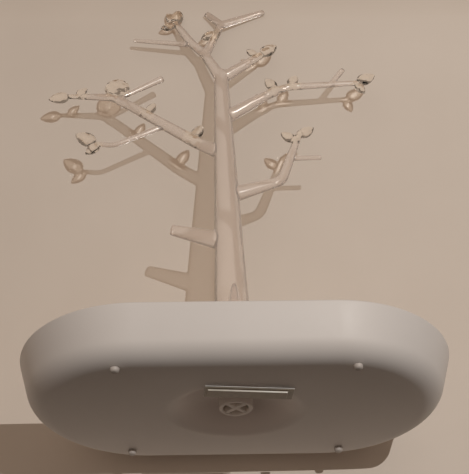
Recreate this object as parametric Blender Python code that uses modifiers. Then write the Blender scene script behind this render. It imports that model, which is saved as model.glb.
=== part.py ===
# Jewelry tree: a clear moulded tree plugged into an oval satin-white tray on four domed feet,
# with a thin security label stuck under the tray.
# Metres, +Z up, standing on z = 0. The origin is the middle of the overall footprint.

import math

import bmesh
import bpy
from mathutils import Matrix, Vector

# Fits
GAP = 0.0003                  # between touching pieces
PLUG_CLEARANCE = 0.0003       # between the tree's plug and the socket, all round
CUT_PAST = 0.001              # how far a cutter reaches past the face that it opens

# Tray
TRAY_LENGTH = 0.2313          # at the sharp rim, before its rounding
TRAY_DEPTH = 0.1384
TRAY_HEIGHT = 0.0262          # from the flat underside to the rim
TRAY_STRAIGHT = 0.0958        # straight stretch of each long side
TRAY_WALL = 0.0026
WALL_FLARE_DEG = 18.0         # how far the wall leans out from upright
EDGE_RADIUS = 0.013           # between the wall and the underside
RIM_ROUNDING = 0.0009
TRAY_BACK = 0.0030            # how far its middle lies behind the middle of the hollow's ceiling
HOLLOW_LENGTH = 0.076         # round hollow under the mound, along the tray
HOLLOW_DEPTH = 0.063          # the same, across the tray
HOLLOW_BACK = 0.0015          # how far its rim lies behind the middle of its ceiling
HOLLOW_RISE = 0.0135
HOLLOW_CEILING = 0.026        # width of its flat ceiling

# Socket in the tray and plug on the tree
SOCKET_BORE = 0.0136
SOCKET_WALL = 0.0021
SOCKET_DROP = 0.0010          # how far the socket's lower end lies above the flat underside
WEB_THICKNESS = 0.0018        # of the X-shaped web across the socket's mouth, which the plug rests over
WEB_HEIGHT = 0.0030
WEB_RECESS = 0.0003
PLUG_CHAMFER = 0.0006
PLUG_OVERLAP = 0.0020         # how far the plug reaches up into the trunk

# Feet
FOOT_DIAMETER = 0.0048
FOOT_HEIGHT = 0.0025
FOOT_FLAT = 0.0016            # flat tip of the dome
FOOT_INSET_END = 0.0572       # from the tray's end to a foot's middle
FOOT_INSET_FRONT = 0.0174     # from its front to a front foot's middle
FOOT_INSET_BACK = 0.0227      # from its back to a back foot's middle

# Tree
TRUNK_LENGTH = 0.2360
TRUNK_LEAN = 0.0057           # how far the trunk's top stands to the left of its foot
TRUNK_BASE = 0.0230
TRUNK_MIDDLE = 0.0170
TRUNK_MIDDLE_AT = 0.41        # share of the trunk's length, from its foot
TRUNK_TOP = 0.0098
TRUNK_UPRIGHT = 0.0030        # its first stretch, square to the flat foot
LIMB_DEPTH_RATIO = 0.84       # front to back, against the width seen from the front
BEND_RADIUS = 0.0045
CORE_MOUTH = 0.0096
CORE_SHOULDER = 0.0050        # width of the core where its pointed end starts
CORE_RISE = 0.0631            # from the trunk's foot up to the core's point
CORE_POINT = 0.0110
LEAF_WIDTH_RATIO = 0.66
LEAF_THICKNESS_RATIO = 0.40
LEAF_BURIED = 0.3             # from the limb's middle to a leaf's root, as a share of the limb's width
DISC_LEAF_DIAMETER = 0.0172
DISC_LEAF_THICKNESS = 0.0062

# Security label
LABEL_LENGTH = 0.0450
LABEL_WIDTH = 0.0107
LABEL_FILM = 0.00025
LABEL_FLANGE = 0.00035
LABEL_CASE_HEIGHT = 0.0013
LABEL_CASE_WALL = 0.0003
LABEL_MARGIN_LEFT = 0.0013    # flange beyond the case's box
LABEL_MARGIN_RIGHT = 0.0031
LABEL_MARGIN_SIDE = 0.00175
LABEL_STRIP = 0.0002
LABEL_STRIP_END_ROOM = 0.00125  # between the case's inner walls and the strips
LABEL_STRIP_SIDE_ROOM = 0.0004
LABEL_X = 0.0064
LABEL_Y = -0.0222
LABEL_TURN_DEG = 5.5

# Each limb of the tree: the limb it grows from, how far along that limb (0 root, 1 tip), its runs as
# length and direction in degrees from +X, its widths at the root and after each run, and its tip.
LIMBS = {
    "left_stub": ("trunk", 0.393, [(0.0354, 164)], [0.0128, 0.0070], "cut"),
    "right_low": ("trunk", 0.543, [(0.0367, 19), (0.0428, 71.5)], [0.0114, 0.0068, 0.0042], "round"),
    "right_low_twig": ("right_low", 0.712, [(0.0199, 1)], [0.0036, 0.0034], "cut"),
    "left_bough": ("trunk", 0.689, [(0.0200, 150), (0.0620, 143), (0.0108, 150), (0.0287, 178)],
                   [0.0096, 0.0084, 0.0066, 0.0054, 0.0032], "round"),
    "left_twig": ("left_bough", 0.384, [(0.0372, 207.5), (0.0118, 173)], [0.0042, 0.0036, 0.0031], "round"),
    "left_spur": ("left_bough", 0.725, [(0.0358, 33.5)], [0.0029, 0.0052], "cut"),
    "right_bough": ("trunk", 0.823, [(0.0397, 36), (0.0127, 28), (0.0496, 4)],
                    [0.0100, 0.0070, 0.0054, 0.0038], "round"),
    "right_spur": ("right_bough", 0.816, [(0.0168, 57)], [0.0041, 0.0041], "cut"),
    "crown_left": ("trunk", 0.985, [(0.0274, 115)], [0.0088, 0.0068], "round"),
    "crown_left_up": ("crown_left", 0.98, [(0.0162, 129), (0.0224, 118)], [0.0070, 0.0064, 0.0048], "round"),
    "crown_left_twig": ("crown_left_up", 0.33, [(0.0419, 173)], [0.0042, 0.0030], "round"),
    "crown_mid": ("crown_left", 0.95, [(0.0344, 70.5)], [0.0068, 0.0056], "round"),
    "crown_mid_stub": ("crown_mid", 0.99, [(0.0156, 131.5)], [0.0060, 0.0049], "cut"),
    "crown_mid_twig": ("crown_mid", 0.97, [(0.0332, 24)], [0.0064, 0.0044], "round"),
    "crown_right": ("trunk", 0.985, [(0.0352, 39.5)], [0.0092, 0.0055], "round"),
}

# Each leaf: the limb that carries it, how far along it, its direction in degrees from +X, its length.
LEAVES = [
    ("left_bough", 0.99, 190, 0.0142),
    ("left_bough", 0.96, 48, 0.0098),
    ("left_bough", 0.516, 66, 0.0105),
    ("left_bough", 0.205, 62, 0.0125),
    ("left_twig", 1.00, 147, 0.0160),
    ("left_twig", 0.95, 225, 0.0115),
    ("crown_left_up", 1.00, 85, 0.0142),
    ("crown_left_up", 0.98, 200, 0.0112),
    ("crown_left_up", 0.99, 122, 0.0130),
    ("crown_mid", 0.74, 213, 0.0125),
    ("crown_right", 1.00, 41, 0.0152),
    ("crown_right", 0.96, 138, 0.0096),
    ("right_bough", 0.44, 121, 0.0125),
    ("right_bough", 0.53, 60, 0.0115),
    ("right_bough", 0.99, 30, 0.0147),
    ("right_bough", 0.985, 296, 0.0106),
    ("right_low", 0.90, 141, 0.0116),
    ("right_low", 0.955, 38, 0.0126),
]
DISC_LEAF = ("left_bough", 0.726, 92)

# Facets
TRAY_SEGMENTS = 72
EDGE_STEPS = 5
HOLLOW_STEPS = 6
ROUND_SEGMENTS = 40
LIMB_BEVEL_RESOLUTION = 4
LIMB_TWIST = 0.11             # turns each limb's facets a little, so that no two limbs' edges coincide
LEAF_SEGMENTS = 14
LEAF_RINGS = 9

UNDERSIDE = FOOT_HEIGHT + GAP
RIM = UNDERSIDE + TRAY_HEIGHT
CEILING = UNDERSIDE + HOLLOW_RISE
SEAT = CEILING + TRAY_WALL + GAP
SOCKET_END = UNDERSIDE + SOCKET_DROP
WEB_LOW = SOCKET_END + WEB_RECESS
PLUG_END = WEB_LOW + WEB_HEIGHT + GAP
PLUG_RADIUS = SOCKET_BORE / 2 - PLUG_CLEARANCE


def clear_scene():
    for thing in list(bpy.data.objects):
        bpy.data.objects.remove(thing, do_unlink=True)


def new_collection(name):
    collection = bpy.data.collections.new(name)
    bpy.context.scene.collection.children.link(collection)
    return collection


def material(name, color, roughness, metallic=0.0, transmission=0.0, alpha=1.0):
    made = bpy.data.materials.new(name)
    made.use_nodes = True
    shader = made.node_tree.nodes["Principled BSDF"]
    shader.inputs["Base Color"].default_value = (*color, 1.0)
    shader.inputs["Roughness"].default_value = roughness
    shader.inputs["Metallic"].default_value = metallic
    shader.inputs["Transmission Weight"].default_value = transmission
    shader.inputs["Alpha"].default_value = alpha
    made.diffuse_color = (*color, alpha)
    return made


def add_object(name, bm, collection, finish=None):
    mesh = bpy.data.meshes.new(name)
    bm.to_mesh(mesh)
    bm.free()
    thing = bpy.data.objects.new(name, mesh)
    if finish:
        mesh.materials.append(finish)
    collection.objects.link(thing)
    return thing


def add_guide(name, bm):
    thing = add_object(name, bm, guides)
    thing.hide_render = True
    thing.display_type = "WIRE"
    return thing


def shade(thing, angle_deg=35):
    thing.data.shade_smooth()
    thing.data.set_sharp_from_angle(angle=math.radians(angle_deg))


def boolean(thing, other, operation):
    cut = thing.modifiers.new(operation.lower(), "BOOLEAN")
    cut.operation = operation
    cut.solver = "EXACT"
    cut.object = other


def cylinder(radius, low, high, segments=ROUND_SEGMENTS):
    bm = bmesh.new()
    bmesh.ops.create_cone(bm, cap_ends=True, segments=segments, radius1=radius, radius2=radius,
                          depth=high - low, matrix=Matrix.Translation((0, 0, (low + high) / 2)))
    return bm


def box(length, width, low, high, aside=0.0):
    bm = bmesh.new()
    bmesh.ops.create_cube(bm, size=1.0)
    bmesh.ops.scale(bm, vec=(length, width, high - low), verts=bm.verts)
    bmesh.ops.translate(bm, vec=(-aside, 0, (low + high) / 2), verts=bm.verts)
    return bm


def cross(span, width, low, high):
    # An upright X, drawn as a plus and turned by 45 degrees.
    bm = bmesh.new()
    far = span / 2
    near = width / 2
    corner = [(far, -near), (far, near), (near, near)]
    outline = []
    for quarter in range(4):
        turn = Matrix.Rotation(math.pi / 2 * quarter + math.pi / 4, 3, "Z")
        outline += [bm.verts.new(turn @ Vector((x, y, low))) for x, y in corner]
    face = bm.faces.new(outline)
    raised = bmesh.ops.extrude_face_region(bm, geom=[face])
    moved = [item for item in raised["geom"] if isinstance(item, bmesh.types.BMVert)]
    bmesh.ops.translate(bm, vec=(0, 0, high - low), verts=moved)
    bmesh.ops.recalc_face_normals(bm, faces=bm.faces)
    return bm


def turned(name, profile, collection, finish=None):
    # The profile is a list of (radius, height) points, down the outer side from top to bottom.
    bm = bmesh.new()
    points = [bm.verts.new((radius, 0, height)) for radius, height in profile]
    for upper, lower in zip(points, points[1:]):
        bm.edges.new((upper, lower))
    thing = add_object(name, bm, collection, finish)
    spin = thing.modifiers.new("turn", "SCREW")
    spin.angle = math.tau
    spin.steps = ROUND_SEGMENTS
    spin.render_steps = ROUND_SEGMENTS
    spin.use_merge_vertices = True
    spin.merge_threshold = 0.00005
    return thing


# Tray

def oval(half_length, half_depth, half_straight, middle, height):
    # Half-ellipse ends on a straight stretch. No point lies at x = 0, so the sides stay straight.
    ring = []
    for step in range(TRAY_SEGMENTS):
        turn = math.tau * (step + 0.5) / TRAY_SEGMENTS
        shift = math.copysign(half_straight, math.cos(turn))
        x = shift + (half_length - half_straight) * math.cos(turn)
        ring.append(Vector((x, middle + half_depth * math.sin(turn), height)))
    return ring


def tray_rings():
    half_length = TRAY_LENGTH / 2
    half_depth = TRAY_DEPTH / 2
    half_straight = TRAY_STRAIGHT / 2
    flare = math.radians(WALL_FLARE_DEG)
    arc_top = EDGE_RADIUS * (1 - math.sin(flare))
    wall_run = (TRAY_HEIGHT - arc_top) * math.tan(flare)
    flat_inset = wall_run + EDGE_RADIUS * math.cos(flare)
    rings = [oval(half_length, half_depth, half_straight, TRAY_BACK, RIM)]
    sweep = math.pi / 2 - flare
    for step in range(EDGE_STEPS + 1):
        angle = sweep * (1 - step / EDGE_STEPS)
        inset = flat_inset - EDGE_RADIUS * math.sin(angle)
        height = UNDERSIDE + EDGE_RADIUS * (1 - math.cos(angle))
        rings.append(oval(half_length - inset, half_depth - inset, half_straight, TRAY_BACK, height))
    for step in range(HOLLOW_STEPS + 1):
        share = step / HOLLOW_STEPS
        ease = share * share * (3 - 2 * share)
        across = HOLLOW_LENGTH / 2 + (HOLLOW_CEILING - HOLLOW_LENGTH) / 2 * share
        along = HOLLOW_DEPTH / 2 + (HOLLOW_CEILING - HOLLOW_DEPTH) / 2 * share
        rings.append(oval(across, along, 0, HOLLOW_BACK * (1 - share), UNDERSIDE + HOLLOW_RISE * ease))
    return rings


def make_tray():
    bm = bmesh.new()
    rings = [[bm.verts.new(point) for point in ring] for ring in tray_rings()]
    for upper, lower in zip(rings, rings[1:]):
        for here in range(TRAY_SEGMENTS):
            after = (here + 1) % TRAY_SEGMENTS
            bm.faces.new((upper[here], lower[here], lower[after], upper[after]))
    bm.faces.new(list(reversed(rings[-1])))
    finish = material("satin_white_plastic", (0.76, 0.73, 0.69), 0.42)
    tray = add_object("tray", bm, parts, finish)
    wall = tray.modifiers.new("wall", "SOLIDIFY")
    wall.thickness = TRAY_WALL
    wall.offset = -1.0
    wall.use_even_offset = True
    lip = tray.modifiers.new("rounded rim", "BEVEL")
    lip.width = RIM_ROUNDING
    lip.segments = 2
    lip.limit_method = "ANGLE"
    lip.angle_limit = math.radians(60)
    socket_radius = SOCKET_BORE / 2 + SOCKET_WALL
    socket = add_guide("socket_outer", cylinder(socket_radius, SOCKET_END, CEILING + TRAY_WALL / 2))
    bore = add_guide("socket_bore", cylinder(SOCKET_BORE / 2, 0.0, RIM))
    web_shape = cross(SOCKET_BORE + SOCKET_WALL, WEB_THICKNESS, WEB_LOW, WEB_LOW + WEB_HEIGHT)
    web = add_guide("socket_web", web_shape)
    boolean(tray, socket, "UNION")
    boolean(tray, bore, "DIFFERENCE")
    boolean(tray, web, "UNION")
    shade(tray)


# Tree

def heading(angle_deg):
    angle = math.radians(angle_deg)
    return Vector((math.cos(angle), 0, math.sin(angle)))


def point_along(nodes, share):
    lengths = [(b - a).length for a, b in zip(nodes, nodes[1:])]
    rest = share * sum(lengths)
    for start, end, length in zip(nodes, nodes[1:], lengths):
        if rest <= length:
            return start.lerp(end, rest / length)
        rest -= length
    return nodes[-1].copy()


def width_along(nodes, widths, share):
    lengths = [(b - a).length for a, b in zip(nodes, nodes[1:])]
    rest = share * sum(lengths)
    for here, length in enumerate(lengths):
        if rest <= length:
            return widths[here] + (widths[here + 1] - widths[here]) * rest / length
        rest -= length
    return widths[-1]


def softened(nodes, widths):
    # Each bend becomes a short curve, so that the limb turns without a corner.
    path = [(nodes[0], widths[0])]
    for here in range(1, len(nodes) - 1):
        before, bend, after = nodes[here - 1:here + 2]
        reach = min(BEND_RADIUS, (bend - before).length / 2, (after - bend).length / 2)
        start = bend + (before - bend).normalized() * reach
        end = bend + (after - bend).normalized() * reach
        for share in (0.0, 0.33, 0.67, 1.0):
            first = start.lerp(bend, share)
            second = bend.lerp(end, share)
            path.append((first.lerp(second, share), widths[here]))
    path.append((nodes[-1], widths[-1]))
    return path


def with_tip(path, tip):
    # A round tip closes as a half ball, a cut tip as a flat end with its corner broken.
    end, width = path[-1]
    onward = (end - path[-2][0]).normalized()
    if tip == "round":
        steps = ((0.35, 0.93), (0.68, 0.73), (0.92, 0.40), (1.0, 0.10))
    else:
        steps = ((0.16, 0.80),)
    for reach, share in steps:
        path.append((end + onward * width / 2 * reach, width * share))
    return path


def limb_guide(name, path, twist):
    curve = bpy.data.curves.new(name, "CURVE")
    curve.dimensions = "3D"
    curve.bevel_depth = TRUNK_BASE / 2
    curve.bevel_resolution = LIMB_BEVEL_RESOLUTION
    curve.use_fill_caps = True
    spline = curve.splines.new("POLY")
    spline.points.add(len(path) - 1)
    for knot, (place, width) in zip(spline.points, path):
        knot.co = (*place, 1.0)
        knot.radius = width / TRUNK_BASE
        knot.tilt = twist
    drawn = bpy.data.objects.new(name, curve)
    guides.objects.link(drawn)
    bpy.context.view_layer.update()
    evaluated = drawn.evaluated_get(bpy.context.evaluated_depsgraph_get())
    mesh = bpy.data.meshes.new_from_object(evaluated)
    bm = bmesh.new()
    bm.from_mesh(mesh)
    bm.transform(drawn.matrix_world)
    bmesh.ops.remove_doubles(bm, verts=bm.verts, dist=0.00002)
    bmesh.ops.scale(bm, vec=(1.0, LIMB_DEPTH_RATIO, 1.0), verts=bm.verts)
    bmesh.ops.recalc_face_normals(bm, faces=bm.faces)
    bpy.data.objects.remove(drawn, do_unlink=True)
    bpy.data.meshes.remove(mesh)
    return bm


def leaf_shape(length, width, thickness, pointed):
    # A drop along +Z from z = 0, round at its root, or a round lens where it isn't pointed.
    bm = bmesh.new()
    bmesh.ops.create_uvsphere(bm, u_segments=LEAF_SEGMENTS, v_segments=LEAF_RINGS, radius=1.0)
    for vert in bm.verts:
        share = (vert.co.z + 1) / 2
        ring = math.hypot(vert.co.x, vert.co.y)
        swell = ring
        if pointed:
            peak = 0.5 ** 0.5 * 0.5 ** 0.85 * 1.06
            swell = max(share, 0.0) ** 0.5 * max(1 - share, 0.0) ** 0.85 / peak
        if ring > 0.0001:
            vert.co.x *= swell / ring * width / 2
            vert.co.y *= swell / ring * thickness / 2
        vert.co.z = share * length
    return bm


def turned_leaf(bm, base, angle_deg):
    along = heading(angle_deg)
    side = heading(angle_deg + 90)
    front = Vector((0, -1, 0))
    frame = Matrix((side, front, along)).transposed().to_4x4()
    bm.transform(Matrix.Translation(base) @ frame)
    return bm


def make_tree():
    foot = Vector((0, 0, SEAT))
    crown = Vector((-TRUNK_LEAN, 0, SEAT + TRUNK_LENGTH))
    nodes = {"trunk": [foot, foot.lerp(crown, TRUNK_MIDDLE_AT), crown]}
    widths = {"trunk": [TRUNK_BASE, TRUNK_MIDDLE, TRUNK_TOP]}
    upright = foot + Vector((0, 0, TRUNK_UPRIGHT))
    trunk_path = [(foot, TRUNK_BASE), (upright, TRUNK_BASE)] + list(zip(nodes["trunk"], widths["trunk"]))[1:]
    finish = material("clear_plastic", (0.93, 0.92, 0.90), 0.08, transmission=0.9, alpha=0.45)
    tree = add_object("tree", limb_guide("trunk", with_tip(trunk_path, "round"), 0.0), parts, finish)
    shapes = bpy.data.collections.new("tree_shapes")
    guides.children.link(shapes)

    for count, (name, (parent, share, runs, run_widths, tip)) in enumerate(LIMBS.items()):
        line = [point_along(nodes[parent], share)]
        for length, angle in runs:
            line.append(line[-1] + heading(angle) * length)
        nodes[name] = line
        widths[name] = run_widths
        twist = LIMB_TWIST * (count + 1)
        guide = add_guide(name, limb_guide(name, with_tip(softened(line, run_widths), tip), twist))
        guides.objects.unlink(guide)
        shapes.objects.link(guide)

    leaves = [(*leaf, LEAF_WIDTH_RATIO * leaf[3], LEAF_THICKNESS_RATIO * leaf[3], True) for leaf in LEAVES]
    leaves.append((*DISC_LEAF, DISC_LEAF_DIAMETER, DISC_LEAF_DIAMETER, DISC_LEAF_THICKNESS, False))
    for count, (limb, share, angle, length, width, thickness, pointed) in enumerate(leaves):
        away = width_along(nodes[limb], widths[limb], share) * LEAF_BURIED
        base = point_along(nodes[limb], share) + heading(angle) * away
        shape = turned_leaf(leaf_shape(length, width, thickness, pointed), base, angle)
        guide = add_guide(f"leaf_{count + 1}", shape)
        guides.objects.unlink(guide)
        shapes.objects.link(guide)

    plug = bmesh.new()
    plug_top = SEAT + PLUG_OVERLAP
    bmesh.ops.create_cone(plug, cap_ends=True, segments=ROUND_SEGMENTS, radius1=PLUG_RADIUS,
                          radius2=PLUG_RADIUS, depth=plug_top - PLUG_END,
                          matrix=Matrix.Translation((0, 0, (plug_top + PLUG_END) / 2)))
    lowest = [edge for edge in plug.edges if all(vert.co.z < PLUG_END + GAP for vert in edge.verts)]
    bmesh.ops.bevel(plug, geom=lowest, offset=PLUG_CHAMFER, segments=1, affect="EDGES")
    guide = add_guide("plug", plug)
    guides.objects.unlink(guide)
    shapes.objects.link(guide)

    grow = tree.modifiers.new("limbs and leaves", "BOOLEAN")
    grow.operation = "UNION"
    grow.solver = "EXACT"
    grow.operand_type = "COLLECTION"
    grow.collection = shapes

    top = SEAT + CORE_RISE
    profile = [(0.0, top), (CORE_SHOULDER * 0.16, top - CORE_POINT * 0.12),
               (CORE_SHOULDER * 0.36, top - CORE_POINT * 0.5), (CORE_SHOULDER / 2, top - CORE_POINT),
               (CORE_MOUTH / 2, PLUG_END - CUT_PAST), (0.0, PLUG_END - CUT_PAST)]
    core = turned("core", profile, guides)
    core.hide_render = True
    core.display_type = "WIRE"
    boolean(tree, core, "DIFFERENCE")
    shade(tree)


# Feet

def make_feet():
    dome = []
    low = math.asin(FOOT_FLAT / FOOT_DIAMETER)
    for step in range(6):
        angle = math.pi / 2 + (low - math.pi / 2) * step / 5
        height = FOOT_HEIGHT * (1 - math.cos(angle) / math.cos(low))
        dome.append((FOOT_DIAMETER / 2 * math.sin(angle), height))
    profile = [(0.0, FOOT_HEIGHT)] + dome + [(0.0, 0.0)]
    finish = material("soft_white_foot", (0.80, 0.78, 0.74), 0.35)
    from_middle = TRAY_LENGTH / 2 - FOOT_INSET_END
    front = TRAY_BACK - TRAY_DEPTH / 2 + FOOT_INSET_FRONT
    back = TRAY_BACK + TRAY_DEPTH / 2 - FOOT_INSET_BACK
    for side, x in (("left", -from_middle), ("right", from_middle)):
        for row, y in (("front", front), ("back", back)):
            foot = turned(f"foot_{row}_{side}", profile, parts, finish)
            foot.location = (x, y, 0)
            shade(foot)


# Security label

def placed_on_label(thing):
    thing.location = (LABEL_X, LABEL_Y, 0)
    thing.rotation_euler = (0, 0, math.radians(LABEL_TURN_DEG))
    return thing


def make_label():
    film_top = UNDERSIDE - GAP
    film_low = film_top - LABEL_FILM
    case_top = film_low - GAP
    case_low = case_top - LABEL_CASE_HEIGHT
    film = add_object("label_backing", box(LABEL_LENGTH, LABEL_WIDTH, film_low, film_top), parts,
                      material("label_film", (0.82, 0.82, 0.80), 0.5))
    placed_on_label(film)
    case = add_object("label_case", box(LABEL_LENGTH, LABEL_WIDTH, case_top - LABEL_FLANGE, case_top), parts,
                      material("label_plastic", (0.30, 0.31, 0.27), 0.4))
    placed_on_label(case)
    length = LABEL_LENGTH - LABEL_MARGIN_LEFT - LABEL_MARGIN_RIGHT
    width = LABEL_WIDTH - 2 * LABEL_MARGIN_SIDE
    aside = (LABEL_MARGIN_RIGHT - LABEL_MARGIN_LEFT) / 2
    raised = add_guide("label_box", box(length, width, case_low, case_top - LABEL_FLANGE / 2, aside))
    length -= 2 * LABEL_CASE_WALL
    width -= 2 * LABEL_CASE_WALL
    room = add_guide("label_room", box(length, width, case_low + LABEL_CASE_WALL, film_top, aside))
    boolean(case, placed_on_label(raised), "UNION")
    boolean(case, placed_on_label(room), "DIFFERENCE")
    metal = material("label_metal", (0.55, 0.55, 0.56), 0.3, metallic=1.0)
    strip_top = case_top
    for name in ("label_bias_strip", "label_resonator"):
        shape = box(length - 2 * LABEL_STRIP_END_ROOM, width - 2 * LABEL_STRIP_SIDE_ROOM,
                    strip_top - LABEL_STRIP, strip_top, aside)
        strip = add_object(name, shape, parts, metal)
        placed_on_label(strip)
        strip_top -= LABEL_STRIP + GAP


def centre_footprint():
    # The leaf at the far left reaches past the tray, and the tree stands a little in front of the tray's
    # middle, so the whole object moves to centre its footprint.
    bpy.context.view_layer.update()
    graph = bpy.context.evaluated_depsgraph_get()
    corners = []
    for thing in parts.objects:
        evaluated = thing.evaluated_get(graph)
        corners += [evaluated.matrix_world @ Vector(corner) for corner in evaluated.bound_box]
    across = [corner.x for corner in corners]
    deep = [corner.y for corner in corners]
    middle = Vector((min(across) + max(across), min(deep) + max(deep), 0)) / 2
    for thing in bpy.data.objects:
        thing.location -= middle


clear_scene()
parts = new_collection("jewelry_tree")
guides = new_collection("cutters")
make_tray()
make_tree()
make_feet()
make_label()
centre_footprint()
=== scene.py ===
import math

import bmesh
import bpy
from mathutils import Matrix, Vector


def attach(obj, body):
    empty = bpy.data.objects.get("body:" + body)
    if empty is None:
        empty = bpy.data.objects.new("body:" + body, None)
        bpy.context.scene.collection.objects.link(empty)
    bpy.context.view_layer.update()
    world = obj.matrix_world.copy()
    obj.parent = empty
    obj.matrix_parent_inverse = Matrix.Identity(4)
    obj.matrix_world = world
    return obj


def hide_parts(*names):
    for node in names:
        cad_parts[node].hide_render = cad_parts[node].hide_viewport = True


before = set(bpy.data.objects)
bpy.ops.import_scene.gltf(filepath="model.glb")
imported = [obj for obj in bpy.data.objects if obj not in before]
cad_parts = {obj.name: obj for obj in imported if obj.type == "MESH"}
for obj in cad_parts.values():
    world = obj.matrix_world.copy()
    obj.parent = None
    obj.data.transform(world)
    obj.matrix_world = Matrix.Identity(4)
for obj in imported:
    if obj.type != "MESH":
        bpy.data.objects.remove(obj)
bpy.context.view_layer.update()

# Camera and light
# The object lies on its back on a table and is seen from below and in front, from 50 cm away.
# In the object's own frame that is a camera under the tray that looks up and back.
CAMERA_AT = (-0.00273, -0.43612, -0.20417)
CAMERA_TURN = (126.4746, 1.0047, -0.2548)     # in degrees
SENSOR_WIDTH = 36.0                           # in millimetres, as the lens is
LENS = 68.35
bpy.ops.object.select_all(action="DESELECT")
bpy.ops.object.camera_add(location=CAMERA_AT, rotation=[math.radians(turn) for turn in CAMERA_TURN])
camera = bpy.context.object
camera.data.sensor_width = SENSOR_WIDTH
camera.data.lens = LENS
camera.data.clip_start = 0.01
bpy.context.scene.camera = camera
bpy.context.scene.view_settings.view_transform = "Standard"


class Wire:
    """A value in a material, which is added, subtracted and multiplied like a number."""

    def __init__(self, nodes, socket):
        self.nodes = nodes
        self.socket = socket

    def node(self, kind, values, settings=None, output=0):
        """Any other node: its kind, its inputs by name or place, its settings and the output to use."""
        made = self.nodes.nodes.new("ShaderNode" + kind)
        for name, value in (settings or {}).items():
            if name == "stops":
                for count, (place, color) in enumerate(value):
                    stops = made.color_ramp.elements
                    stop = stops[count] if count < 2 else stops.new(place)
                    stop.position = place
                    stop.color = (*color, 1.0)
            else:
                setattr(made, name, value)
        for name, value in values.items():
            if isinstance(value, Wire):
                self.nodes.links.new(value.socket, made.inputs[name])
            else:
                made.inputs[name].default_value = value
        return Wire(self.nodes, made.outputs[output])

    def math(self, operation, *values):
        return self.node("Math", dict(enumerate(values)), {"operation": operation})

    def __add__(self, other):
        return self.math("ADD", self, other)

    def __sub__(self, other):
        return self.math("SUBTRACT", self, other)

    def __rsub__(self, other):
        return self.math("SUBTRACT", other, self)

    def __mul__(self, other):
        return self.math("MULTIPLY", self, other)

    __radd__ = __add__
    __rmul__ = __mul__

    def into(self, shader, name):
        self.nodes.links.new(self.socket, shader.inputs[name])


# One lamp far in front, to the right. The room's own light is weak and warm and comes from the front too.
# Past the table the room is pale. Seen through the clear plastic it is pale at the back and dark in front.
LAMP_AT = (0.475, -1.352, 0.020)
LAMP_RADIUS = 0.030
LAMP_POWER = 35.9                             # in watts
ROOM_FRONT = (-0.15, -0.96, 0.22)             # where the room's light comes from
ROOM_SEEN = (0.55, 0.48, 0.41, 1.0)
bpy.ops.object.light_add(type="POINT", radius=LAMP_RADIUS, location=LAMP_AT)
lamp = bpy.context.object.data
lamp.energy = LAMP_POWER
lamp.color = (1.0, 0.97, 0.93)
room = bpy.data.worlds.new("room")
room.use_nodes = True
way = Wire(room.node_tree, None).node("TexCoord", {}, output="Generated")
facing = way.node("VectorMath", {0: way, 1: ROOM_FRONT}, {"operation": "DOT_PRODUCT"}, output="Value")
glow = way.node("ValToRGB", {"Fac": facing},
                {"stops": [(0.40, (0.051, 0.036, 0.029)), (0.95, (0.49, 0.39, 0.31))]})
seen = way.node("LightPath", {}, output="Is Camera Ray")
through = way.node("LightPath", {}, output="Is Transmission Ray")
backward = way.node("SeparateXYZ", {0: way}, output=1)
behind = way.node("ValToRGB", {"Fac": backward},
                  {"stops": [(0.0, (0.20, 0.155, 0.12)), (0.3, (0.60, 0.53, 0.46))]})
unseen = way.node("Mix", {"Factor": through, "A": glow, "B": behind}, {"data_type": "RGBA"}, output=2)
shown = way.node("Mix", {"Factor": seen, "A": unseen, "B": ROOM_SEEN}, {"data_type": "RGBA"}, output=2)
shown.into(room.node_tree.nodes["Background"], "Color")
bpy.context.scene.world = room


# Tray
# An oval dish, injection moulded in satin white plastic: a flared wall, a rounded belly, a flat underside.
# A mound in its middle, hollow from below, carries the round socket that the tree plugs into.
UNDERSIDE = 0.0028            # height of the flat underside over what the feet stand on
RIM = UNDERSIDE + 0.0262
WALL = 0.0026
FLARE = 18                    # how far the wall leans out, in degrees
BELLY = 0.013                 # radius of the round between the wall and the underside
RIM_ROUND = 0.0009
HALF_LENGTH = 0.11565
HALF_DEPTH = 0.0692
HALF_STRAIGHT = 0.0479        # half of the straight stretch of each long side
MIDDLE = 0.003617             # the tray's middle, along X
TREE_Y = -0.0030              # the tree, its socket and the mound stand a little in front of the middle
HOLLOW_RISE = 0.0135
HOLLOW_RIM = (0.038, 0.0315)  # half length and half depth of the hollow's mouth
HOLLOW_TOP = 0.013            # half width of its flat ceiling
HOLLOW_RUN = 0.0235           # how far its slope runs in, for the thickness of the mound's wall
HOLLOW_BACK = 0.0015          # how far its mouth lies behind the socket
MOUND_LIMIT = 0.045           # every ring of the mound and the socket lies inside this radius
SOCKET_END = UNDERSIDE + 0.0010
BORE = 0.0068                 # the socket's inner radius
SOCKET = BORE + 0.0021        # its outer radius
SOCKET_EDGE = 0.0004
SOCKET_FILLET = 0.0006        # where the socket meets the hollow's ceiling


def draw_out(name, rings, sides):
    """Extrudes a circle ring by ring: the half length, half depth, height and place along Y of each."""
    bpy.ops.object.select_all(action="DESELECT")
    bpy.ops.mesh.primitive_circle_add(vertices=sides, radius=1.0)
    piece = bpy.context.object
    piece.name = name
    bpy.ops.object.mode_set(mode="EDIT")
    bpy.ops.transform.rotate(value=math.pi / sides, orient_axis="Z", center_override=(0, 0, 0))
    length, depth, height, middle = rings[0]
    bpy.ops.transform.resize(value=(length, depth, 1), center_override=(0, 0, 0))
    bpy.ops.transform.translate(value=(0, middle, height))
    for new_length, new_depth, new_height, new_middle in rings[1:]:
        bpy.ops.mesh.extrude_edges_move()
        bpy.ops.transform.resize(value=(new_length / length, new_depth / depth, 1),
                                 center_override=(0, middle, height))
        bpy.ops.transform.translate(value=(0, new_middle - middle, new_height - height))
        length, depth, height, middle = new_length, new_depth, new_height, new_middle
    return piece


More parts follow.
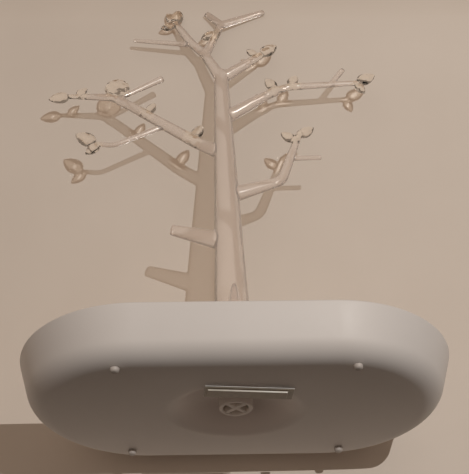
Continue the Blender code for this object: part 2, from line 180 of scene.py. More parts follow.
def select_points(piece, wanted):
    """In edit mode, selects the points whose place passes the test."""
    bpy.ops.mesh.select_all(action="DESELECT")
    edited = bmesh.from_edit_mesh(piece.data)
    for vert in edited.verts:
        vert.select = wanted(vert.co)
    edited.select_flush(True)
    bmesh.update_edit_mesh(piece.data)


def close_up(piece, angle=30):
    """Welds the seams, turns all faces out and shades the piece smooth, up to an angle in degrees."""
    bpy.ops.mesh.select_all(action="SELECT")
    bpy.ops.mesh.remove_doubles(threshold=0.000005)
    bpy.ops.mesh.normals_make_consistent(inside=False)
    bpy.ops.object.mode_set(mode="OBJECT")
    bpy.ops.object.shade_smooth_by_angle(angle=math.radians(angle))


def tray_rings():
    """The dish's section: over the rim, down outside, up the hollow, round the socket and back inside."""
    flare = math.radians(FLARE)
    arc_top = BELLY * (1 - math.sin(flare))
    flat_inset = (RIM - UNDERSIDE - arc_top) * math.tan(flare) + BELLY * math.cos(flare)
    away = Vector((math.cos(flare), -math.sin(flare)))
    up = Vector((math.sin(flare), math.cos(flare)))
    outer = []
    inner = []
    # The rounded rim, from its inner corner to its outer one, as (inset, height).
    rim_inner = Vector((-WALL * away.x, RIM - WALL * away.y))
    rim_outer = Vector((0.0, RIM))
    rim = []
    for step in range(5):
        turn = math.pi / 2 * step / 4
        centre = rim_inner + (away - up) * RIM_ROUND
        place = centre + (up * math.sin(turn) - away * math.cos(turn)) * RIM_ROUND
        rim.append((-place.x, place.y))
    for step in range(5):
        turn = math.pi / 2 * (1 - step / 4)
        centre = rim_outer - (away + up) * RIM_ROUND
        place = centre + (up * math.sin(turn) + away * math.cos(turn)) * RIM_ROUND
        rim.append((-place.x, place.y))
    for step in range(13):
        turn = (math.pi / 2 - flare) * (1 - step / 12)
        outer.append((flat_inset - BELLY * math.sin(turn), UNDERSIDE + BELLY * (1 - math.cos(turn))))
        inner.append((flat_inset - (BELLY - WALL) * math.sin(turn),
                      UNDERSIDE + BELLY - (BELLY - WALL) * math.cos(turn)))
    rings = [(HALF_LENGTH - HALF_STRAIGHT - inset, HALF_DEPTH - inset, height, 0)
             for inset, height in rim + outer]
    mound = []
    for step in range(17):
        share = step / 16
        ease = share * share * (3 - 2 * share)
        slope = math.atan(HOLLOW_RISE * 6 * share * (1 - share) / HOLLOW_RUN)
        length = HOLLOW_RIM[0] + (HOLLOW_TOP - HOLLOW_RIM[0]) * share
        depth = HOLLOW_RIM[1] + (HOLLOW_TOP - HOLLOW_RIM[1]) * share
        height = UNDERSIDE + HOLLOW_RISE * ease
        middle = TREE_Y + HOLLOW_BACK * (1 - share)
        rings.append((length, depth, height, middle))
        out = WALL * math.sin(slope)
        mound.append((length + out, depth + out, height + WALL * math.cos(slope), middle))
    ceiling = UNDERSIDE + HOLLOW_RISE
    edge = SOCKET_EDGE
    third = SOCKET_FILLET / 3
    turned = [(SOCKET + SOCKET_FILLET, ceiling), (SOCKET + third, ceiling - third),
              (SOCKET, ceiling - SOCKET_FILLET), (SOCKET, SOCKET_END + edge), (SOCKET - edge, SOCKET_END),
              (BORE + edge, SOCKET_END), (BORE, SOCKET_END + edge), (BORE, ceiling + WALL - edge),
              (BORE + edge, ceiling + WALL)]
    rings += [(radius, radius, height, TREE_Y) for radius, height in turned]
    rings += reversed(mound)
    rings += [(HALF_LENGTH - HALF_STRAIGHT - inset, HALF_DEPTH - inset, height, 0)
              for inset, height in reversed(inner)]
    return rings + rings[:1]


def apply_modifier(piece, kind, **settings):
    bpy.context.view_layer.objects.active = piece
    modifier = piece.modifiers.new(kind.lower(), kind)
    for name, value in settings.items():
        setattr(modifier, name, value)
    bpy.ops.object.modifier_apply(modifier=modifier.name)


# The dish is drawn out round, and then its two ends are moved apart.
tray = draw_out("dish", tray_rings(), 144)
for side in (-1, 1):
    select_points(tray, lambda at: at.x * side > 0 and math.hypot(at.x, at.y) > MOUND_LIMIT)
    bpy.ops.transform.translate(value=(side * HALF_STRAIGHT, 0, 0))
bpy.ops.mesh.select_all(action="SELECT")
bpy.ops.transform.translate(value=(MIDDLE, 0, 0))
close_up(tray)

# An X-shaped web spans the socket's mouth. The plug ends just above it.
WEB_LOW = SOCKET_END + 0.0003
WEB_HEIGHT = 0.0030
BAR_WIDTH = 0.0024
BAR_EDGE = 0.00035
bars = []
for turn in (-45, 45):
    bpy.ops.object.select_all(action="DESELECT")
    bpy.ops.mesh.primitive_cube_add(size=1, location=(MIDDLE, TREE_Y, WEB_LOW + WEB_HEIGHT / 2),
                                    rotation=(0, 0, math.radians(turn)),
                                    scale=(BORE + SOCKET, BAR_WIDTH, WEB_HEIGHT))
    bars.append(bpy.context.object)
bpy.ops.object.select_all(action="DESELECT")
for bar in bars:
    bar.select_set(True)
bpy.ops.object.transform_apply(location=True, rotation=True, scale=True)
apply_modifier(bars[0], "BOOLEAN", object=bars[1], operation="UNION", solver="EXACT")
bpy.data.objects.remove(bars[1])
apply_modifier(bars[0], "BEVEL", width=BAR_EDGE, segments=3, limit_method="ANGLE",
               angle_limit=math.radians(40))
apply_modifier(tray, "BOOLEAN", object=bars[0], operation="UNION", solver="EXACT")
bpy.data.objects.remove(bars[0])
bpy.ops.object.select_all(action="DESELECT")
tray.select_set(True)
bpy.ops.object.shade_smooth_by_angle(angle=math.radians(30))


def new_finish(name, piece):
    """A new material on a piece. Returns its shader and the place on the piece, as a wire."""
    material = bpy.data.materials.new(name)
    material.use_nodes = True
    nodes = material.node_tree
    piece.data.materials.clear()
    piece.data.materials.append(material)
    at = Wire(nodes, None).node("TexCoord", {}, output="Object")
    return nodes.nodes["Principled BSDF"], at


shader, at = new_finish("satin white plastic", tray)
cloud = at.node("TexNoise", {"Vector": at, "Scale": 22.0, "Detail": 3.0})
grain = at.node("TexNoise", {"Vector": at, "Scale": 2600.0, "Detail": 2.0})
pits = at.node("TexNoise", {"Vector": at, "Scale": 420.0, "Detail": 3.0})
tint = cloud.node("ValToRGB", {"Fac": cloud},
                  {"stops": [(0.35, (0.70, 0.667, 0.645)), (0.65, (0.725, 0.692, 0.67))]})
# Painted light in the hollow: its slopes are painted paler than the rest of the tray, as if lit, and the
# socket's end a little less pale, as painted shade. The ramp runs from the socket's axis out.
RAMP_LENGTH = 0.05
off_axis = at.node("Mapping", {"Vector": at, "Location": (-MIDDLE, -TREE_Y, 0), "Scale": (1, 1, 0)})
reach = off_axis.node("VectorMath", {0: off_axis}, {"operation": "LENGTH"}, output="Value")
pale = reach.node("ValToRGB", {"Fac": reach * (1 / RAMP_LENGTH)},
                  {"stops": [(0.175, (0.80, 0.75, 0.71)), (0.21, (0.84, 0.785, 0.755)),
                             (0.55, (0.84, 0.785, 0.755)), (0.80, (0.71, 0.678, 0.655))]})
outside = reach.node("MapRange", {"Value": reach, "From Min": 0.030, "From Max": 0.040})
# The hollow's painted light and shade is mixed in over the tray's own tint.
tint_with_painted_hollow_light = tint.node("Mix", {"Factor": outside, "A": pale, "B": tint}, {"data_type": "RGBA"}, output=2)
tint_with_painted_hollow_light.into(shader, "Base Color")
(0.52 + (cloud - 0.5) * 0.12 + (pits - 0.5) * 0.10).into(shader, "Roughness")
skin = grain + pits * 0.8
skin.node("Bump", {"Strength": 0.12, "Distance": 0.00004, "Height": skin}).into(shader, "Normal")
shader.inputs["Coat Weight"].default_value = 0.05
shader.inputs["Coat Roughness"].default_value = 0.30
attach(tray, "tray")
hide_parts("tray")


# Feet
# Four small domes of soft white plastic, stuck under the tray near its corners.
# They stand on their flat tips.
FOOT_HEIGHT = 0.0025
FOOT_RADIUS = 0.0024
FOOT_TIP = 0.0008
FOOT_EDGE = 0.0002            # the small edge where a foot meets the tray
FOOT_POWER = 2 / 3            # below 1, the dome is fuller than a ball
FOOT_SIDE = 0.05845           # from the tray's middle to a foot, along X
FOOT_FRONT = -0.0518
FOOT_BACK = 0.0465
low = math.asin((FOOT_TIP / FOOT_RADIUS) ** (1 / FOOT_POWER))
dome = [(FOOT_RADIUS - FOOT_EDGE, FOOT_RADIUS - FOOT_EDGE, FOOT_HEIGHT, 0)]
for step in range(13):
    turn = math.pi / 2 + (low - math.pi / 2) * step / 12
    radius = FOOT_RADIUS * math.sin(turn) ** FOOT_POWER
    height = FOOT_HEIGHT * (1 - (abs(math.cos(turn)) / math.cos(low)) ** FOOT_POWER)
    dome.append((radius, radius, min(height, FOOT_HEIGHT - FOOT_EDGE), 0))
foot = draw_out("foot", dome, 32)
bpy.ops.mesh.edge_face_add()
select_points(foot, lambda at: at.z > FOOT_HEIGHT - 0.00001)
bpy.ops.mesh.edge_face_add()
close_up(foot, 40)
shader, at = new_finish("soft white plastic", foot)
speck = at.node("TexNoise", {"Vector": at, "Scale": 700.0, "Detail": 3.0})
tint = speck.node("ValToRGB", {"Fac": speck},
                  {"stops": [(0.3, (0.47, 0.43, 0.40)), (0.7, (0.53, 0.49, 0.46))]})
tint.into(shader, "Base Color")
(0.42 + speck * 0.12).into(shader, "Roughness")
speck.node("Bump", {"Strength": 0.1, "Distance": 0.00003, "Height": speck}).into(shader, "Normal")
for row, y in (("front", FOOT_FRONT), ("back", FOOT_BACK)):
    for side, x in (("left", -FOOT_SIDE), ("right", FOOT_SIDE)):
        copy = foot.copy()
        copy.data = foot.data.copy()
        bpy.context.collection.objects.link(copy)
        copy.name = f"dome_{row}_{side}"
        for vert in copy.data.vertices:
            vert.co += Vector((MIDDLE + x, y, 0))
        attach(copy, "tray")
        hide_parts(f"foot_{row}_{side}")
bpy.data.objects.remove(foot)


# Tree
# One flat moulding of clear plastic: a tapered trunk, boughs, cut-off stubs and drop-shaped leaves.
# Its foot is a round plug, and a narrow core runs up inside the trunk.
GAP = 0.0003                  # the room left between the tree and the tray
SEAT = UNDERSIDE + HOLLOW_RISE + WALL + GAP
TRUNK_LENGTH = 0.2360
TRUNK_LEAN = 0.0057           # how far its top lies to the left of its foot
TRUNK_WIDTHS = [0.0230, 0.0170, 0.0098]
TRUNK_MIDDLE = 0.41           # where the second of these widths is, as a share of its length
TRUNK_FOOT = 0.003            # the straight stretch at its foot
DEPTH_RATIO = 0.84            # front to back, against the width seen from the front
BEND = 0.0045                 # how far before and after a corner its curve reaches
PLUG = 0.0065                 # radius of the plug under the trunk
PLUG_EDGE = 0.0006
CORE_LENGTH = 0.0631          # from the seat to the core's pointed top
LEAF_WIDTH = 0.66             # of its length
LEAF_DEPTH = 0.40             # of its length too
LEAF_ROOT = 0.5               # the powers that make a leaf round at its root and pointed at its tip
LEAF_TIP = 0.85
LEAF_OUT = 0.3                # where its root is: this share of the limb's width out from the middle
BEAD = 0.0086                 # half the width of the one round leaf
BEAD_DEPTH = 0.0031           # half its depth
VOXEL = 0.00068               # the grain at which the limbs and the leaves are made one mesh

# Each limb: the limb it grows from, how far along that one, its runs as length and direction in degrees,
# its widths at the root and after each run, and how it ends.
LIMBS = {
    "left_stub": ("trunk", 0.393, [(0.0354, 164)], [0.0128, 0.0070], "cut"),
    "right_low": ("trunk", 0.543, [(0.0367, 19), (0.0428, 71.5)], [0.0114, 0.0068, 0.0042], "round"),
    "right_low_twig": ("right_low", 0.712, [(0.0199, 1)], [0.0036, 0.0034], "cut"),
    "left_bough": ("trunk", 0.689, [(0.0200, 150), (0.0620, 143), (0.0108, 150), (0.0287, 178)],
                   [0.0096, 0.0084, 0.0066, 0.0054, 0.0032], "round"),
    "left_twig": ("left_bough", 0.384, [(0.0372, 207.5), (0.0118, 173)], [0.0042, 0.0036, 0.0031], "round"),
    "left_spur": ("left_bough", 0.725, [(0.0358, 33.5)], [0.0029, 0.0052], "cut"),
    "right_bough": ("trunk", 0.823, [(0.0397, 36), (0.0127, 28), (0.0496, 4)],
                    [0.0100, 0.0070, 0.0054, 0.0038], "round"),
    "right_spur": ("right_bough", 0.816, [(0.0168, 57)], [0.0041, 0.0041], "cut"),
    "crown_left": ("trunk", 0.985, [(0.0274, 115)], [0.0088, 0.0068], "round"),
    "crown_left_up": ("crown_left", 0.98, [(0.0162, 129), (0.0224, 118)], [0.0070, 0.0064, 0.0048], "round"),
    "crown_left_twig": ("crown_left_up", 0.33, [(0.0419, 173)], [0.0042, 0.0030], "round"),
    "crown_mid": ("crown_left", 0.95, [(0.0344, 70.5)], [0.0068, 0.0056], "round"),
    "crown_mid_stub": ("crown_mid", 0.99, [(0.0156, 131.5)], [0.0060, 0.0049], "cut"),
    "crown_mid_twig": ("crown_mid", 0.97, [(0.0332, 24)], [0.0064, 0.0044], "round"),
    "crown_right": ("trunk", 0.985, [(0.0352, 39.5)], [0.0092, 0.0055], "round"),
}

# Each leaf: the limb that carries it, how far along it, its direction in degrees, its length.
LEAVES = [
    ("left_bough", 0.99, 190, 0.0142),
    ("left_bough", 0.96, 48, 0.0098),
    ("left_bough", 0.516, 66, 0.0105),
    ("left_bough", 0.205, 62, 0.0125),
    ("left_twig", 1.00, 147, 0.0160),
    ("left_twig", 0.95, 225, 0.0115),
    ("crown_left_up", 1.00, 85, 0.0142),
    ("crown_left_up", 0.98, 200, 0.0112),
    ("crown_left_up", 0.99, 122, 0.0130),
    ("crown_mid", 0.74, 213, 0.0125),
    ("crown_right", 1.00, 41, 0.0152),
    ("crown_right", 0.96, 138, 0.0096),
    ("right_bough", 0.44, 121, 0.0125),
    ("right_bough", 0.53, 60, 0.0115),
    ("right_bough", 0.99, 30, 0.0147),
    ("right_bough", 0.985, 296, 0.0106),
    ("right_low", 0.90, 141, 0.0116),
    ("right_low", 0.955, 38, 0.0126),
]


def heading(degrees):
    """A step of one metre in the tree's plane. 0 is to the right and 90 is up."""
    return Vector((math.cos(math.radians(degrees)), 0, math.sin(math.radians(degrees))))


def direction(step):
    """The direction of a step in the tree's plane, in degrees."""
    return math.degrees(math.atan2(step.z, step.x))


def along(nodes, widths, share):
    """The place and the width at a share of a limb's length."""
    lengths = [(b - a).length for a, b in zip(nodes, nodes[1:])]
    rest = share * sum(lengths)
    for here, length in enumerate(lengths):
        if rest <= length or here == len(lengths) - 1:
            part = min(rest / length, 1.0)
            width = widths[here] + (widths[here + 1] - widths[here]) * part
            return nodes[here].lerp(nodes[here + 1], part), width
        rest -= length


def softened(nodes, widths, tip):
    """Turns each corner into a short curve and closes the tip, round or cut flat."""
    path = [(nodes[0], widths[0])]
    for here in range(1, len(nodes) - 1):
        before, bend, after = nodes[here - 1:here + 2]
        reach = min(BEND, (bend - before).length / 2, (after - bend).length / 2)
        start = bend + (before - bend).normalized() * reach
        end = bend + (after - bend).normalized() * reach
        for share in (0.0, 0.2, 0.4, 0.6, 0.8, 1.0):
            path.append((start.lerp(bend, share).lerp(bend.lerp(end, share), share), widths[here]))
    path.append((nodes[-1], widths[-1]))
    onward = (nodes[-1] - nodes[-2]).normalized()
    if tip == "round":
        steps = [(math.sin(turn), math.cos(turn)) for turn in (0.25, 0.5, 0.75, 1.0, 1.2, 1.38, 1.5)]
    else:
        steps = [(0.10, 0.97), (0.17, 0.90), (0.20, 0.80)]
    for reach, share in steps:
        path.append((nodes[-1] + onward * widths[-1] / 2 * reach, widths[-1] * share))
    return path


def grow(name, path, sides=48):
    """Draws a disc out along a path of places and widths, and turns it at every bend."""
    bpy.ops.object.select_all(action="DESELECT")
    steps = [b[0] - a[0] for a, b in zip(path, path[1:])]
    facing = direction(steps[0])
    bpy.ops.mesh.primitive_circle_add(vertices=sides, radius=path[0][1] / 2, fill_type="NGON",
                                      location=path[0][0], rotation=(0, math.radians(90 - facing), 0))
    piece = bpy.context.object
    piece.name = name
    bpy.ops.object.transform_apply(location=True, rotation=True, scale=True)
    bpy.ops.object.mode_set(mode="EDIT")
    width = path[0][1]
    for count, step in enumerate(steps):
        place, new_width = path[count + 1]
        bpy.ops.mesh.extrude_region_move(TRANSFORM_OT_translate={"value": step})
        after = steps[min(count + 1, len(steps) - 1)]
        turn = (direction(after) - direction(step) + 180) % 360 - 180
        wanted = direction(step) + turn / 2
        swing = (wanted - facing + 180) % 360 - 180
        if abs(swing) > 0.01:
            bpy.ops.transform.rotate(value=math.radians(swing), orient_axis="Y", center_override=place)
        facing = wanted
        size = new_width / width
        bpy.ops.transform.resize(value=(size, size, size), center_override=place)
        width = new_width
    bpy.ops.mesh.select_all(action="SELECT")
    bpy.ops.mesh.normals_make_consistent(inside=False)
    bpy.ops.object.mode_set(mode="OBJECT")
    return piece


def join(pieces):
    bpy.ops.object.select_all(action="DESELECT")
    for piece in pieces:
        piece.select_set(True)
    bpy.context.view_layer.objects.active = pieces[0]
    bpy.ops.object.join()
    return pieces[0]


foot_point = Vector((MIDDLE, 0, SEAT))
crown_point = Vector((MIDDLE - TRUNK_LEAN, 0, SEAT + TRUNK_LENGTH))
nodes = {"trunk": [foot_point, foot_point.lerp(crown_point, TRUNK_MIDDLE), crown_point]}
widths = {"trunk": TRUNK_WIDTHS}
trunk_path = softened(nodes["trunk"], TRUNK_WIDTHS, "round")
trunk_path.insert(1, (foot_point + Vector((0, 0, TRUNK_FOOT)), TRUNK_WIDTHS[0]))
trunk = grow("trunk", trunk_path, 64)
limbs = []
for name, (parent, share, runs, limb_widths, tip) in LIMBS.items():
    line = [along(nodes[parent], widths[parent], share)[0]]
    for length, degrees in runs:
        line.append(line[-1] + heading(degrees) * length)
    nodes[name] = line
    widths[name] = limb_widths
    limbs.append(grow(name, softened(line, limb_widths, tip)))
tree = join([trunk] + limbs)
bpy.ops.object.mode_set(mode="EDIT")
bpy.ops.mesh.select_all(action="SELECT")
bpy.ops.transform.resize(value=(1, DEPTH_RATIO, 1), center_override=(0, 0, 0))
bpy.ops.object.mode_set(mode="OBJECT")

# One leaf, a metre long, is modelled and copied: round at its root, pointed at its tip, flat front and back.
# The curve of its swell rises to about the value of widest.
widest = 0.5 ** (LEAF_ROOT + LEAF_TIP) * 1.06
drop = []
for step in range(25):
    share = 0.0005 + 0.999 * (1 - math.cos(math.pi * step / 24)) / 2
    swell = share ** LEAF_ROOT * (1 - share) ** LEAF_TIP / widest
    drop.append((Vector((0, 0, share)), LEAF_WIDTH * swell))
pattern = grow("leaf", drop, 32)
bpy.ops.object.mode_set(mode="EDIT")
bpy.ops.mesh.select_all(action="SELECT")
bpy.ops.transform.resize(value=(1, LEAF_DEPTH / LEAF_WIDTH, 1), center_override=(0, 0, 0))
bpy.ops.object.mode_set(mode="OBJECT")
leaves = []
for limb, share, degrees, length in LEAVES:
    place, width = along(nodes[limb], widths[limb], share)
    leaf = pattern.copy()
    leaf.data = pattern.data.copy()
    bpy.context.collection.objects.link(leaf)
    leaf.location = place + heading(degrees) * width * LEAF_OUT
    leaf.rotation_euler = (0, math.radians(90 - degrees), 0)
    leaf.scale = (length, length, length)
    leaves.append(leaf)
bpy.data.objects.remove(pattern)

# The one round leaf sits on the left bough.
place, width = along(nodes["left_bough"], widths["left_bough"], 0.726)
bead_at = place + heading(92) * (width * LEAF_OUT + BEAD)
bpy.ops.object.select_all(action="DESELECT")
bpy.ops.mesh.primitive_uv_sphere_add(segments=48, ring_count=24, radius=1, location=bead_at)
leaves.append(bpy.context.object)
leaves[-1].scale = (BEAD, BEAD_DEPTH, BEAD)

# The plug under the trunk, and the core that is taken out of both.
PLUG_END = WEB_LOW + WEB_HEIGHT + GAP
plug_profile = [(PLUG - PLUG_EDGE, PLUG_END), (PLUG, PLUG_END + PLUG_EDGE), (PLUG, SEAT + 0.002)]
plug = draw_out("plug", [(radius, radius, height, 0) for radius, height in plug_profile], 64)
bpy.ops.mesh.edge_face_add()
select_points(plug, lambda at: at.z < PLUG_END + 0.00001)
bpy.ops.mesh.edge_face_add()
close_up(plug)
core_top = SEAT + CORE_LENGTH
core_profile = [(0.0048, PLUG_END - 0.001), (0.0025, core_top - 0.011), (0.0018, core_top - 0.0055),
                (0.0008, core_top - 0.0013), (0.0001, core_top)]
core = draw_out("core", [(radius, radius, height, 0) for radius, height in core_profile], 48)
bpy.ops.mesh.edge_face_add()
select_points(core, lambda at: at.z < PLUG_END)
bpy.ops.mesh.edge_face_add()
close_up(core)
for piece in (plug, core):
    piece.location.x = MIDDLE
bpy.ops.object.select_all(action="DESELECT")
for piece in leaves + [plug, core]:
    piece.select_set(True)
bpy.ops.object.transform_apply(location=True, rotation=True, scale=True)
apply_modifier(tree, "BOOLEAN", object=plug, operation="UNION", solver="EXACT", use_self=True)
apply_modifier(tree, "BOOLEAN", object=core, operation="DIFFERENCE", solver="EXACT")
bpy.data.objects.remove(core)
bpy.data.objects.remove(plug)
tree = join([tree] + leaves)
tree.name = "clear_tree"
apply_modifier(tree, "REMESH", mode="VOXEL", voxel_size=VOXEL, adaptivity=0.0)
apply_modifier(tree, "SMOOTH", factor=0.5, iterations=4)
bpy.ops.object.shade_smooth()
bpy.ops.object.mode_set(mode="EDIT")
bpy.ops.mesh.select_all(action="SELECT")
bpy.ops.transform.translate(value=(0, TREE_Y, 0))
bpy.ops.object.mode_set(mode="OBJECT")

# The leaves come polished from the mould, and the limbs are a little milky.
# The mesh keeps which is which: 1 on a leaf and 0 on a limb, with a soft change past the leaf's root.
LEAF_REACH = 0.62             # of a leaf's length, from its middle: what counts as leaf
BEAD_REACH = 0.0092
FADE_END = 1.15               # where the change ends, against that reach
FADE = 0.3
drops = [(along(nodes[limb], widths[limb], share)[0] + heading(degrees) * length / 2, length * LEAF_REACH)
         for limb, share, degrees, length in LEAVES]
drops.append((bead_at, BEAD_REACH))
polish = tree.data.attributes.new("leaf", "FLOAT", "POINT")
for vert in tree.data.vertices:
    away = min(math.hypot(vert.co.x - middle.x, vert.co.z - middle.z) / radius for middle, radius in drops)
    polish.data[vert.index].value = min(max((FADE_END - away) / FADE, 0.0), 1.0)
shader, at = new_finish("clear plastic", tree)
shader.inputs["Transmission Weight"].default_value = 1.0
shader.inputs["IOR"].default_value = 1.49
shader.inputs["Specular IOR Level"].default_value = 0.25
flow = at.node("TexNoise", {"Vector": at, "Scale": 60.0, "Detail": 2.0})
leaf = at.node("Attribute", {}, {"attribute_name": "leaf"}, output="Fac")
tint = at.node("Mix", {"Factor": leaf, "A": (0.93, 0.88, 0.85, 1.0), "B": (0.97, 0.94, 0.90, 1.0)},
               {"data_type": "RGBA"}, output=2)
tint.into(shader, "Base Color")
((0.13 + flow * 0.06) * (1 - leaf) + leaf * 0.01).into(shader, "Roughness")
glint = at.node("TexNoise", {"Vector": at, "Scale": 260.0, "Detail": 0.0})
soft = flow.node("Bump", {"Strength": 0.05, "Distance": 0.0004, "Height": flow})
cut = glint.node("Bump", {"Strength": leaf * leaf, "Distance": 0.0013, "Height": glint, "Normal": soft})
cut.into(shader, "Normal")

# Light passes through the plastic to the table, so its shadow is pale, and darker near each limb's edges.
# A leaf's shadow is deeper, with a bright spot in its middle, where the leaf gathers the lamp's light.
clear_nodes = tree.data.materials[0].node_tree
edge = at.node("LayerWeight", {"Blend": 0.5}, output="Facing")
from_lamp = at.node("LightPath", {}, output="Is Shadow Ray")
bounced = at.node("LightPath", {}, output="Is Diffuse Ray")
pale = at.node("BsdfTransparent", {"Color": (0.80, 0.76, 0.72, 1.0)})
dark = at.node("BsdfTransparent", {"Color": (0.45, 0.39, 0.33, 1.0)})
deep = at.node("BsdfTransparent", {"Color": (0.61, 0.53, 0.46, 1.0)})
focus = at.node("BsdfTransparent", {"Color": (1.22, 1.19, 1.16, 1.0)})
spot = edge.node("MapRange", {"Value": edge, "From Min": 0.04, "From Max": 0.095})
limb_shade = at.node("MixShader", {"Fac": edge * edge, 1: pale, 2: dark})
leaf_shade = at.node("MixShader", {"Fac": spot, 1: focus, 2: deep})
shade = at.node("MixShader", {"Fac": leaf, 1: limb_shade, 2: leaf_shade})
milk = at.node("BsdfDiffuse", {"Color": (0.80, 0.73, 0.69, 1.0)})
milky = at.node("MixShader", {"Fac": (1 - leaf) * 0.22, 1: Wire(clear_nodes, shader.outputs[0]), 2: milk})
glass = at.node("MixShader", {"Fac": bounced, 1: milky, 2: pale})
either = at.node("MixShader", {"Fac": from_lamp, 1: glass, 2: shade})
either.into(clear_nodes.nodes["Material Output"], "Surface")
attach(tree, "tree")
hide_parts("tree")


# Security label
# A stiff strip, 45 mm long, stuck under the tray by its film: a thin formed case on a flange,
# with two loose metal strips inside. Its print is left off.
LABEL_AT = (MIDDLE + 0.0064, TREE_Y - 0.0222)
LABEL_TURN = 5.5              # in degrees
LABEL_LENGTH = 0.0450
LABEL_DEPTH = 0.0107
LABEL_GAP = 0.0003            # between the tray, the film and the flange
FILM = 0.00025
FLANGE = 0.00035
FLANGE_SIDE = 0.00175         # how far the flange stands out past the case, front and back
CASE_HEIGHT = 0.0013
CASE_LENGTH = 0.0406          # where it rises from the flange
CASE_TAPER = 0.0004           # how much shorter and narrower its face is
CASE_SHIFT = -0.0009          # along the flange, to the left
CASE_EDGE = 0.00022
inset_length = LABEL_LENGTH - 2 * FLANGE_SIDE
case_depth = LABEL_DEPTH - 2 * FLANGE_SIDE
flange_top = UNDERSIDE - LABEL_GAP - FILM - LABEL_GAP
bpy.ops.object.select_all(action="DESELECT")
bpy.ops.mesh.primitive_cube_add(size=1, location=(0, 0, flange_top - FLANGE / 2),
                                scale=(LABEL_LENGTH, LABEL_DEPTH, FLANGE))
case = bpy.context.object
case.name = "formed_case"
bpy.ops.object.transform_apply(location=True, rotation=True, scale=True)
bpy.ops.object.mode_set(mode="EDIT")
select_points(case, lambda at: at.z < flange_top - FLANGE / 2)
bpy.ops.mesh.inset(thickness=FLANGE_SIDE)
bpy.ops.transform.resize(value=(CASE_LENGTH / inset_length, 1, 1), center_override=(0, 0, 0))
bpy.ops.transform.translate(value=(CASE_SHIFT, 0, 0))
bpy.ops.mesh.extrude_region_move(TRANSFORM_OT_translate={"value": (0, 0, FLANGE - CASE_HEIGHT)})
bpy.ops.transform.resize(value=((CASE_LENGTH - CASE_TAPER) / CASE_LENGTH,
                                (case_depth - CASE_TAPER) / case_depth, 1),
                         center_override=(CASE_SHIFT, 0, 0))
close_up(case)
apply_modifier(case, "BEVEL", width=CASE_EDGE, segments=3, limit_method="ANGLE",
               angle_limit=math.radians(40))
turn = math.radians(LABEL_TURN)
for vert in case.data.vertices:
    x, y, z = vert.co
    vert.co = (LABEL_AT[0] + x * math.cos(turn) - y * math.sin(turn),
               LABEL_AT[1] + x * math.sin(turn) + y * math.cos(turn), z)
shader, at = new_finish("label plastic", case)
smear = at.node("TexNoise", {"Vector": at, "Scale": 240.0, "Detail": 4.0})
tint = smear.node("ValToRGB", {"Fac": smear},
                  {"stops": [(0.35, (0.33, 0.29, 0.23)), (0.65, (0.42, 0.37, 0.30))]})
tint.into(shader, "Base Color")
(0.22 + smear * 0.2).into(shader, "Roughness")
smear.node("Bump", {"Strength": 0.1, "Distance": 0.00005, "Height": smear}).into(shader, "Normal")
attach(case, "tray")
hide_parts("label_case")

# The film and the two strips keep their own shapes and get a finish.
shader, at = new_finish("label film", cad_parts["label_backing"])
haze = at.node("TexNoise", {"Vector": at, "Scale": 900.0, "Detail": 3.0})
tint = haze.node("ValToRGB", {"Fac": haze},
                 {"stops": [(0.3, (0.78, 0.78, 0.76)), (0.7, (0.84, 0.84, 0.82))]})
tint.into(shader, "Base Color")
(0.42 + haze * 0.15).into(shader, "Roughness")
for name in ("label_bias_strip", "label_resonator"):
    shader, at = new_finish("rolled metal " + name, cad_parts[name])
    stretched = at.node("Mapping", {"Vector": at, "Scale": (40.0, 2200.0, 400.0)})
    lines = at.node("TexNoise", {"Vector": stretched, "Scale": 1.0, "Detail": 3.0})
    shader.inputs["Metallic"].default_value = 1.0
    tint = lines.node("ValToRGB", {"Fac": lines},
                      {"stops": [(0.3, (0.50, 0.50, 0.51)), (0.7, (0.60, 0.60, 0.61))]})
    tint.into(shader, "Base Color")
    (0.22 + lines * 0.18).into(shader, "Roughness")


# Table
# A plain pale table that the object leans back on: it touches the tray's rim and the tips of the crown.
# From behind it is see-through, so that it never hides the object.
TABLE_SIZE = 4.0
TABLE_AT = (0, 0.0700, 0.02553)
TABLE_LEAN = 13.60            # in degrees, back from upright
TABLE_TAKEN = 1.7145          # what its far half loses, so that the flat part ends at the crown
# The runs past that end, as lean and length. The first goes straight on, so that the flat part stays flat.
TABLE_BEND = [(TABLE_LEAN, 0.0120), (9, 0.0030), (4, 0.0030), (-1, 0.0060), (-5, 0.0100), (-9, 1.6)]


def up_the_table(lean, length):
    """A step along the table, from the tray to the crown and on, where it leans back by these degrees."""
    return 0, -length * math.sin(math.radians(lean)), length * math.cos(math.radians(lean))


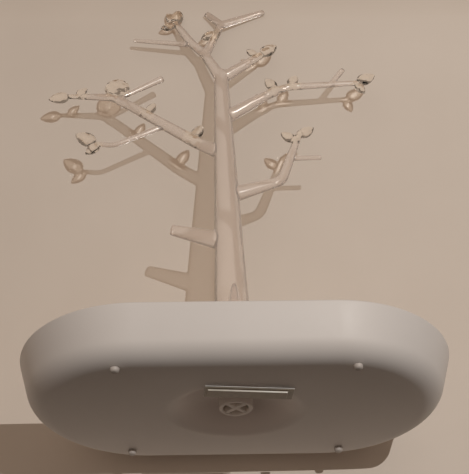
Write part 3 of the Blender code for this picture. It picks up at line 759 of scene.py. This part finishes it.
bpy.ops.object.select_all(action="DESELECT")
bpy.ops.mesh.primitive_plane_add(size=TABLE_SIZE, location=TABLE_AT,
                                 rotation=(math.radians(90 + TABLE_LEAN), 0, 0))
table = bpy.context.object
table.name = "table"
bpy.ops.object.transform_apply(location=True, rotation=True, scale=True)
# Past the crown the table bends away softly, so that the tree stays in front of it when it is lifted.
bpy.ops.object.mode_set(mode="EDIT")
select_points(table, lambda at: at.z > 0)
bpy.ops.transform.translate(value=up_the_table(TABLE_LEAN, -TABLE_TAKEN))
for lean, length in TABLE_BEND:
    bpy.ops.mesh.extrude_edges_move()
    bpy.ops.transform.translate(value=up_the_table(lean, length))
bpy.ops.object.mode_set(mode="OBJECT")
bpy.ops.object.shade_smooth()
shader, at = new_finish("table", table)
grainy = at.node("TexNoise", {"Vector": at, "Scale": 9.0, "Detail": 4.0})
tint = grainy.node("ValToRGB", {"Fac": grainy},
                   {"stops": [(0.3, (0.70, 0.62, 0.545)), (0.7, (0.74, 0.66, 0.585))]})
# How much light the table throws back is set by height: none far below, and most just under the tray.
BOUNCE_LOW = -0.16            # the height at which the ramp starts, and how much height it covers
BOUNCE_SPAN = 1 / 6
height = at.node("SeparateXYZ", {0: at}, output=2)
bounce = height.node("ValToRGB", {"Fac": (height - BOUNCE_LOW) * (1 / BOUNCE_SPAN)},
                     {"stops": [(0.1, (0.0, 0.0, 0.0)), (0.40, (0.36, 0.31, 0.26)),
                                (0.66, (1.0, 0.895, 0.79)), (1.0, (0.84, 0.745, 0.65))]})
seen = at.node("LightPath", {}, output="Is Camera Ray")
lit = tint.node("Mix", {"Factor": seen, "A": bounce, "B": tint}, {"data_type": "RGBA"}, output=2)
lit.into(shader, "Base Color")
shader.inputs["Roughness"].default_value = 0.65
table_nodes = table.data.materials[0].node_tree
back = at.node("NewGeometry", {}, output="Backfacing")
clear = at.node("BsdfTransparent", {})
either = at.node("MixShader", {"Fac": back, 1: Wire(table_nodes, shader.outputs[0]), 2: clear})
either.into(table_nodes.nodes["Material Output"], "Surface")
